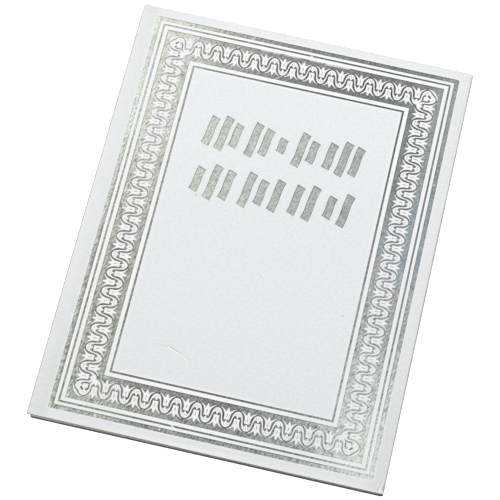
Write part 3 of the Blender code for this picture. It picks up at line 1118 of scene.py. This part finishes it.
class Nodes:
    """Short way to build a node tree."""

    def __init__(self, tree):
        self.tree = tree

    def add(self, kind, **values):
        node = self.tree.nodes.new(kind)
        for name, value in values.items():
            setattr(node, name, value)
        return node

    def link(self, start, end):
        self.tree.links.new(start, end)

    def attribute(self, name):
        return self.add("ShaderNodeAttribute", attribute_name=name)

    def math(self, operation, first, second=None, clamp=False):
        node = self.add("ShaderNodeMath", operation=operation, use_clamp=clamp)
        for socket, value in zip(node.inputs, (first, second)):
            self.put(socket, value)
        return node.outputs[0]

    def times(self, first, second, clamp=False):
        return self.math("MULTIPLY", first, second, clamp)

    def plus(self, first, second, clamp=False):
        return self.math("ADD", first, second, clamp)

    def vector(self, operation, first, second):
        """Vector math; the number comes out for a dot product or a distance."""
        node = self.add("ShaderNodeVectorMath", operation=operation)
        for socket, value in zip(node.inputs, (first, second)):
            self.put(socket, value)
        return node.outputs["Value" if operation in ("DOT_PRODUCT", "DISTANCE") else "Vector"]

    def scaled(self, vector, factor):
        node = self.add("ShaderNodeVectorMath", operation="SCALE")
        self.put(node.inputs[0], vector)
        self.put(node.inputs["Scale"], factor)
        return node.outputs["Vector"]

    def axes(self, vector):
        """X, Y and Z of a vector."""
        node = self.add("ShaderNodeSeparateXYZ")
        self.put(node.inputs[0], vector)
        return node.outputs

    def put(self, socket, value):
        if value is None:
            return
        if isinstance(value, bpy.types.NodeSocket):
            self.link(value, socket)
        else:
            socket.default_value = value

    def mix(self, factor, first, second, blend="MIX"):
        node = self.add("ShaderNodeMix", data_type="RGBA", blend_type=blend)
        self.put(node.inputs["Factor"], factor)
        self.put(node.inputs["A"], first)
        self.put(node.inputs["B"], second)
        return node.outputs["Result"]

    def noise(self, vector, scale, detail=3.0, roughness=0.5):
        node = self.add("ShaderNodeTexNoise")
        self.put(node.inputs["Vector"], vector)
        node.inputs["Scale"].default_value = scale
        node.inputs["Detail"].default_value = detail
        node.inputs["Roughness"].default_value = roughness
        return node.outputs["Fac"]

    def stretched(self, vector, size, angle=0.0):
        """Coordinates for a texture whose features have this size, turned by an angle."""
        node = self.add("ShaderNodeMapping", vector_type="TEXTURE")
        self.put(node.inputs["Vector"], vector)
        node.inputs["Scale"].default_value = size
        node.inputs["Rotation"].default_value = (0, 0, angle)
        return node.outputs["Vector"]

    def steps(self, value, low, high, out_low=0.0, out_high=1.0):
        node = self.add("ShaderNodeMapRange", clamp=True)
        self.put(node.inputs["Value"], value)
        ends = {"From Min": low, "From Max": high, "To Min": out_low, "To Max": out_high}
        for name, number in ends.items():
            self.put(node.inputs[name], number)
        return node.outputs["Result"]


def fill_grain(nodes, given, result):
    """Felt grain of card or paper: height and a small change of tone."""
    place = nodes.scaled(given["Coordinates"], nodes.math("DIVIDE", 1.0, given["Grain Width"]))
    felt = nodes.noise(place, 1.0, 3.0, 0.55)
    fibre = nodes.noise(nodes.stretched(place, (3.0, 0.6, 1.0)), 1.0, 2.0)
    cloud = nodes.noise(nodes.stretched(place, (2.6, 2.0, 2.0), radians(30)), 1.0, 2.5, 0.6)
    height = nodes.plus(nodes.times(felt, 0.6), nodes.times(fibre, 0.4))
    nodes.link(height, result["Height"])
    nodes.link(nodes.plus(nodes.times(height, 0.3), nodes.times(cloud, 0.7)), result["Tone"])


def fill_light_and_rim(nodes, given, result):
    """Masks that the mesh carries: painted shade, painted highlight and rim darkening, and a soft
    mottle.
    """
    masks = nodes.axes(nodes.attribute("light_and_rim").outputs["Vector"])
    for axis, name in zip("XYZ", ("Painted Shade", "Lightened", "Rim")):
        nodes.link(masks[axis], result[name])
    place = nodes.scaled(given["Coordinates"], nodes.math("DIVIDE", 1.0, given["Mottle Size"]))
    nodes.link(nodes.noise(place, 1.0, 4.0, 0.6), result["Mottle"])


def fill_mark(nodes, given, result):
    """Soft mask of a short stroke between two points."""
    flat = nodes.vector("MULTIPLY", given["Coordinates"], (1, 1, 0))
    reach = nodes.vector("SUBTRACT", flat, given["Start"])
    line = nodes.vector("SUBTRACT", given["End"], given["Start"])
    along = nodes.vector("DOT_PRODUCT", reach, line)
    share = nodes.math("DIVIDE", along, nodes.vector("DOT_PRODUCT", line, line), clamp=True)
    distance = nodes.vector("DISTANCE", reach, nodes.scaled(line, share))
    widths = nodes.math("DIVIDE", distance, given["Width"])
    nodes.link(nodes.steps(widths, 1.0, 0.35), result["Mask"])


# Each effect that more than one material uses: what fills it, its inputs (None for a vector), and
# its outputs
EFFECTS = {
    "Card Grain": (fill_grain, {"Coordinates": None, "Grain Width": 0.00045}, ("Height", "Tone")),
    "Painted Light And Rim": (
        fill_light_and_rim, {"Coordinates": None, "Mottle Size": 0.002},
        ("Painted Shade", "Lightened", "Rim", "Mottle")),
    "Mark": (
        fill_mark, {"Coordinates": None, "Start": None, "End": None, "Width": 0.0002}, ("Mask",)),
}


def build_group(name):
    """Shader node group of an effect, with named sockets."""
    fill, inputs, outputs = EFFECTS[name]
    group = bpy.data.node_groups.new(name, "ShaderNodeTree")
    for label, value in inputs.items():
        kind = "NodeSocketVector" if value is None else "NodeSocketFloat"
        socket = group.interface.new_socket(label, in_out="INPUT", socket_type=kind)
        if value is not None:
            socket.default_value = value
    for label in outputs:
        group.interface.new_socket(label, in_out="OUTPUT", socket_type="NodeSocketFloat")
    nodes = Nodes(group)
    fill(nodes, nodes.add("NodeGroupInput").outputs, nodes.add("NodeGroupOutput").inputs)
    return group


def effect(nodes, name, **values):
    """Outputs of an effect's group, placed in a material. The group is built the first time."""
    group = bpy.data.node_groups.get(name) or build_group(name)
    node = nodes.add("ShaderNodeGroup", node_tree=group)
    for label, value in values.items():
        nodes.put(node.inputs[label.replace("_", " ")], value)
    return node.outputs


def mark_mask(nodes, place, start, end, width):
    """Mask of a short stroke on the flat card, given in millimetres."""
    mark = effect(
        nodes, "Mark", Coordinates=place, Start=(start[0] * MM, start[1] * MM, 0),
        End=(end[0] * MM, end[1] * MM, 0), Width=width * MM)
    return mark["Mask"]


def colour(values, factor=1.0):
    return tuple(value * factor for value in values) + (1.0,)


def grey(value):
    return value, value, value, 1.0


def new_material(name):
    """Material, its node helper and its Principled shader."""
    material = bpy.data.materials.new(name)
    material.use_nodes = True
    shader = material.node_tree.nodes["Principled BSDF"]
    return material, Nodes(material.node_tree), shader


def sheet_material(name, grain_width):
    """New material that reads its place on the flat sheet, and the sheet's grain."""
    material, nodes, shader = new_material(name)
    place = nodes.attribute("sheet").outputs["Vector"]
    grain = effect(nodes, "Card Grain", Coordinates=place, Grain_Width=grain_width)
    return material, nodes, shader, place, grain


def dress(nodes, shader, base, rough, height, strength, distance, gloss=0.5):
    """Colour, roughness, bump and gloss of a material's shader."""
    nodes.link(base, shader.inputs["Base Color"])
    nodes.link(rough, shader.inputs["Roughness"])
    shader.inputs["Specular IOR Level"].default_value = gloss
    bump = nodes.add("ShaderNodeBump")
    bump.inputs["Strength"].default_value = strength
    bump.inputs["Distance"].default_value = distance
    nodes.link(height, bump.inputs["Height"])
    nodes.link(bump.outputs["Normal"], shader.inputs["Normal"])


def card_material(name, sizes, colours):
    """White grained card with a painted light falloff, painted highlights, a darker rim partly of
    painted shade, and small marks.
    """
    material, nodes, shader, place, grain = sheet_material(name, sizes.grain)
    light_masks = effect(nodes, "Painted Light And Rim", Coordinates=place, Mottle_Size=0.009)
    sheen = nodes.attribute("sheen").outputs["Fac"]
    # Painted light falloff: the card is painted lighter towards the head and darker towards the
    # tail
    painted_falloff = nodes.steps(nodes.axes(place)["Y"], 0.08, -0.08)
    base = nodes.mix(painted_falloff, colour(colours.card, 1.075), colour(colours.card, 0.985))
    tone = nodes.steps(grain["Tone"], 0.36, 0.64)
    base = nodes.mix(tone, base, (0.915, 0.915, 0.925, 1), "MULTIPLY")
    # Painted highlight: lighter card beside the foil, the more so where the foil is dark, and on
    # lit places by the fold and the knocked corner
    pressed = nodes.times(light_masks["Lightened"], nodes.steps(sheen, 0.15, 0.4, 0.8, 0.3), clamp=True)
    base = nodes.mix(pressed, base, colour(colours.card_pressed))
    # Darker at the rim and in the margin, and painted shade in the fold's crease, along the fold's
    # side and in the knocked crease
    rim = nodes.times(light_masks["Rim"], nodes.steps(light_masks["Mottle"], 0.2, 0.75, 0.6, 1.0))
    base = nodes.mix(rim, base, colour(colours.cut_edge, 3.2))
    for start, end, width, brightness in MARKS:
        mark = mark_mask(nodes, place, start, end, width)
        base = nodes.mix(mark, base, (brightness, brightness, brightness * 0.97, 1))
    for start, end, width in STAINS:
        stain = mark_mask(nodes, place, start, end, width)
        base = nodes.mix(stain, base, (1.0, 0.93, 0.72, 1), "MULTIPLY")
    rough = nodes.steps(grain["Height"], 0.3, 0.7, 0.62, 0.78)
    dress(nodes, shader, base, rough, grain["Height"], 0.35, 0.00006, gloss=0.25)
    return material


def foil_calm(nodes, place):
    """How smooth the foil is: most on the strokes and by the spine, less in the far head corner."""
    middle = nodes.steps(nodes.math("ABSOLUTE", place["X"]), 0.038, 0.034)
    height = nodes.math("ABSOLUTE", nodes.math("SUBTRACT", place["Y"], 0.026))
    strokes = nodes.times(middle, nodes.steps(height, 0.026, 0.022))
    right = nodes.steps(place["X"], 0.034, 0.042)
    right = nodes.times(right, nodes.steps(place["Y"], -0.03, 0.0))
    left = nodes.steps(place["X"], -0.02, -0.045, 0.0, 0.7)
    left = nodes.times(left, nodes.steps(place["Y"], 0.0, 0.05))
    return nodes.math("MAXIMUM", nodes.math("MAXIMUM", right, left), strokes)


def foil_material(name, sizes, colours):
    """Silver foil on the card's grain: a painted reflection from dark to pale, mottled and hatched,
    with painted shade in its grooves.
    """
    material, nodes, shader, place, grain = sheet_material(name, sizes.grain)
    light_masks = effect(nodes, "Painted Light And Rim", Coordinates=place, Mottle_Size=0.0007)
    sheen = nodes.attribute("sheen").outputs["Fac"]
    axes = nodes.axes(place)
    hatch = nodes.noise(nodes.stretched(place, (0.0005, 0.0019, 1), radians(-25)), 1.0, 1.0, 0.5)
    patches = nodes.noise(nodes.stretched(place, (0.004, 0.006, 1), radians(20)), 1.0, 3.0)
    uneven = nodes.steps(hatch, 0.32, 0.66, -1.25, 0.95)
    uneven = nodes.times(uneven, nodes.steps(foil_calm(nodes, axes), 0, 1, 1.0, 0.4))
    uneven = nodes.plus(uneven, nodes.steps(light_masks["Mottle"], 0.3, 0.7, -0.7, 0.7))
    uneven = nodes.plus(uneven, nodes.steps(patches, 0.35, 0.65, -0.2, 0.2))
    # Painted reflection: the foil is painted from dark to pale by its sheen, made uneven, with pale
    # flecks
    reach = nodes.math("MINIMUM", nodes.plus(nodes.times(sheen, 0.5), 0.06), 0.27)
    tone = nodes.plus(sheen, nodes.times(uneven, reach), clamp=True)
    flecks = nodes.steps(nodes.noise(place, 2600, 2.0, 0.6), 0.64, 0.74, 0.0, 0.65)
    tone = nodes.math("MAXIMUM", tone, flecks)
    side = nodes.steps(axes["X"], -0.045, 0.03)
    tint = nodes.mix(side, (0.985, 1.003, 0.965, 1), (0.95, 0.995, 1.015, 1))
    tint = nodes.mix(nodes.steps(patches, 0.4, 0.6), tint, (0.99, 1.0, 0.98, 1), "MULTIPLY")
    tint = nodes.mix(nodes.steps(sheen, 0.6, 0.95), tint, (0.968, 1.0, 0.995, 1))
    foil = nodes.mix(tone, colour(colours.foil_dark), colour(colours.foil_pale))
    foil = nodes.mix(1.0, foil, tint, "MULTIPLY")
    cool = mark_mask(nodes, place, (54, 20), (50, 5), 14)
    foil = nodes.mix(cool, foil, (0.935, 1.0, 1.085, 1), "MULTIPLY")
    # Painted shade along the relief's outlines, in the narrow foil lines and at the edges of the
    # foil parts
    groove = nodes.times(light_masks["Painted Shade"], nodes.steps(light_masks["Mottle"], 0.32, 0.62, 0.5, 1.1))
    foil = nodes.mix(groove, foil, grey(0.3), "MULTIPLY")
    bare = 0.0
    for start, end, width, share in SCRATCHES:
        scratch = nodes.times(mark_mask(nodes, place, start, end, width), share)
        bare = nodes.math("MAXIMUM", bare, scratch)
    bare = nodes.times(bare, nodes.steps(light_masks["Mottle"], 0.35, 0.55, 0.55, 1.0))
    foil = nodes.mix(bare, foil, colour(colours.card_pressed))
    nodes.link(nodes.math("SUBTRACT", 1.0, bare), shader.inputs["Metallic"])
    rough = nodes.steps(light_masks["Mottle"], 0.3, 0.7, 0.3, 0.45)
    dress(nodes, shader, foil, rough, grain["Height"], 0.25, 0.00004)
    return material


def edge_material(name, sizes, colours):
    """Cut edge of the card: layered fibres, dark grey and painted darker as shade, white where it
    is only rounded.
    """
    material, nodes, shader, place, grain = sheet_material(name, sizes.grain)
    light_masks = effect(nodes, "Painted Light And Rim", Coordinates=place, Mottle_Size=0.004)
    layers = nodes.noise(nodes.stretched(place, (0.006, 0.006, 0.00011)), 1.0, 3.0, 0.6)
    dark, pale = colour(colours.cut_edge, 0.8), colour(colours.cut_edge, 1.25)
    base = nodes.mix(nodes.steps(layers, 0.3, 0.7), dark, pale)
    tone = nodes.steps(grain["Tone"], 0.4, 0.65, 0.0, 0.4)
    base = nodes.mix(tone, base, colour(colours.cut_edge, 1.6))
    # Painted shade on the cut edge of the back card, which lies lowest
    base = nodes.mix(light_masks["Painted Shade"], base, grey(0.2), "MULTIPLY")
    base = nodes.mix(light_masks["Rim"], colour(colours.card), base)
    rough = nodes.steps(layers, 0.3, 0.7, 0.75, 0.9)
    dress(nodes, shader, base, rough, layers, 0.5, 0.00008, gloss=0.15)
    return material


def inside_material(name, sizes, colours):
    """Uncoated inside of the cover."""
    material, nodes, shader, place, grain = sheet_material(name, sizes.grain * 1.6)
    light_masks = effect(nodes, "Painted Light And Rim", Coordinates=place, Mottle_Size=0.004)
    tone = nodes.steps(grain["Tone"], 0.35, 0.65)
    base = nodes.mix(tone, colour(colours.card_inside), colour(colours.card_inside, 1.08))
    # Darker at the rim, with painted shade along the tail
    base = nodes.mix(light_masks["Rim"], base, colour(colours.cut_edge, 1.3))
    rough = nodes.steps(grain["Height"], 0.3, 0.7, 0.8, 0.95)
    dress(nodes, shader, base, rough, grain["Height"], 0.3, 0.00005)
    return material


def paper_material(name, sizes, colours, shade):
    """Paper of the leaves at a brightness: plain on the faces, painted dark as shade for the cut
    edges.
    """
    material, nodes, shader, _, grain = sheet_material(name, sizes.grain * 0.8)
    tone = nodes.steps(grain["Tone"], 0.35, 0.65)
    base = nodes.mix(tone, colour(colours.paper, shade), colour(colours.paper, shade * 1.12))
    rough = nodes.steps(grain["Height"], 0.3, 0.7, 0.8, 0.92)
    dress(nodes, shader, base, rough, grain["Height"], 0.25, 0.00003, gloss=0.15)
    return material


# The materials of the card, in the order of its finishes
CARD_MATERIALS = {
    "White Grained Card": card_material,
    "Silver Foil": foil_material,
    "Card Cut Edge": edge_material,
    "Card Inside": inside_material,
}


def card_materials(sizes, colours):
    """Materials of the card, made once and used by both halves of the cover."""
    return [
        bpy.data.materials.get(name) or make(name, sizes, colours)
        for name, make in CARD_MATERIALS.items()
    ]


# ---------------------------------------------------------------- operators


class BOOKLET_OT_front_card(bpy.types.Operator):
    """Front cover with the stamped frame, as far as the middle of the spine"""

    bl_idname = "booklet.front_card"
    bl_label = "Front card"

    def execute(self, context):
        sizes = context.scene.booklet_sizes
        colours = context.scene.booklet_colours
        piece = card_piece(
            "front_card", lay_front, FlatCard(front_fore, front_tail, square_head), front_fold,
            front_rim, 0.0, card_materials(sizes, colours), lambda plan: stamp_front(plan, sizes))
        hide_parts("front_cover", "spine")
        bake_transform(piece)
        return {"FINISHED"}


class BOOKLET_OT_back_card(bpy.types.Operator):
    """Back cover, as far as the middle of the spine"""

    bl_idname = "booklet.back_card"
    bl_label = "Back card"

    def execute(self, context):
        sizes = context.scene.booklet_sizes
        colours = context.scene.booklet_colours
        # The back card's cut edge gets painted shade, the front card's none
        piece = card_piece(
            "back_card", lay_back, FlatCard(back_fore, back_tail, square_head), back_fold,
            back_rim, 0.5, card_materials(sizes, colours))
        piece.data.flip_normals()
        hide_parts("back_cover", "spine")
        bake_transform(piece)
        return {"FINISHED"}


class BOOKLET_OT_leaves(bpy.types.Operator):
    """Folded leaves, nested in each other at the fold"""

    bl_idname = "booklet.leaves"
    bl_label = "Leaves"

    def execute(self, context):
        sizes = context.scene.booklet_sizes
        colours = context.scene.booklet_colours
        verts, sheet, faces, finishes = folded_leaves(sizes.leaf_thickness / MM)
        materials = [
            paper_material("Leaf Paper", sizes, colours, 1.0),
            # The leaves' cut edges are painted ten times darker, as painted shade
            paper_material("Leaf Edges", sizes, colours, 0.1),
        ]
        piece = new_piece("leaves", verts, sheet, faces, finishes, materials)
        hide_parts("page_block")
        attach(piece, "bound_block")
        return {"FINISHED"}


class BOOKLET_OT_studio(bpy.types.Operator):
    """White floor, soft light and the camera"""

    bl_idname = "booklet.studio"
    bl_label = "Studio"

    def execute(self, context):
        scene = context.scene
        mesh = bpy.data.meshes.new("floor")
        near, far = -FLOOR_REACH, FLOOR_REACH
        corners = [(near, near, 0), (far, near, 0), (far, far, 0), (near, far, 0)]
        mesh.from_pydata(corners, [], [(0, 1, 2, 3)])
        floor = bpy.data.objects.new("floor", mesh)
        floor.location.z = -FLOOR_DROP
        material, _, shader = new_material("Studio Floor")
        shader.inputs["Base Color"].default_value = colour(scene.booklet_colours.floor)
        shader.inputs["Roughness"].default_value = 0.9
        shader.inputs["Specular IOR Level"].default_value = 0.0
        shader.inputs["Emission Color"].default_value = (1, 1, 1, 1)
        shader.inputs["Emission Strength"].default_value = GLOW
        mesh.materials.append(material)
        scene.collection.objects.link(floor)

        world = bpy.data.worlds.new("Studio")
        world.use_nodes = True
        background = world.node_tree.nodes["Background"]
        background.inputs["Color"].default_value = (1.0, 1.0, 1.0, 1)
        background.inputs["Strength"].default_value = GLOW
        scene.world = world

        for light in LIGHTS:
            add_light(*light)

        camera_data = bpy.data.cameras.new("camera")
        camera_data.lens = LENS
        camera_data.sensor_width = 36.0
        camera_data.clip_start = 0.01
        camera = bpy.data.objects.new("camera", camera_data)
        camera.location = CAMERA_PLACE
        camera.rotation_euler = [radians(angle) for angle in CAMERA_TURN]
        scene.collection.objects.link(camera)
        scene.camera = camera
        scene.view_settings.view_transform = "Standard"
        return {"FINISHED"}


def add_light(name, place, size, power):
    """Square soft light that faces the booklet."""
    data = bpy.data.lights.new(name, "AREA")
    data.size = size
    data.energy = power
    light = bpy.data.objects.new(name, data)
    light.location = place
    light.rotation_euler = Vector(place).to_track_quat("Z", "Y").to_euler()
    bpy.context.scene.collection.objects.link(light)


class BOOKLET_PT_panel(bpy.types.Panel):
    """Steps that build the booklet"""

    bl_label = "Booklet"
    bl_idname = "BOOKLET_PT_panel"
    bl_space_type = "VIEW_3D"
    bl_region_type = "UI"
    bl_category = "Booklet"

    def draw(self, context):
        layout = self.layout
        for step in STEPS:
            layout.operator(step.bl_idname)
        for group in (context.scene.booklet_sizes, context.scene.booklet_colours):
            box = layout.box()
            for name in group.__annotations__:
                box.prop(group, name)


STEPS = (BOOKLET_OT_front_card, BOOKLET_OT_back_card, BOOKLET_OT_leaves, BOOKLET_OT_studio)
CLASSES = (BookletSizes, BookletColours, *STEPS, BOOKLET_PT_panel)


def register():
    for cls in CLASSES:
        bpy.utils.register_class(cls)
    bpy.types.Scene.booklet_sizes = bpy.props.PointerProperty(type=BookletSizes)
    bpy.types.Scene.booklet_colours = bpy.props.PointerProperty(type=BookletColours)


def unregister():
    del bpy.types.Scene.booklet_colours
    del bpy.types.Scene.booklet_sizes
    for cls in reversed(CLASSES):
        bpy.utils.unregister_class(cls)


def main():
    register()
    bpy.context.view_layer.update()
    for step in STEPS:
        category, name = step.bl_idname.split(".")
        getattr(getattr(bpy.ops, category), name)()


if __name__ == "__main__":
    main()
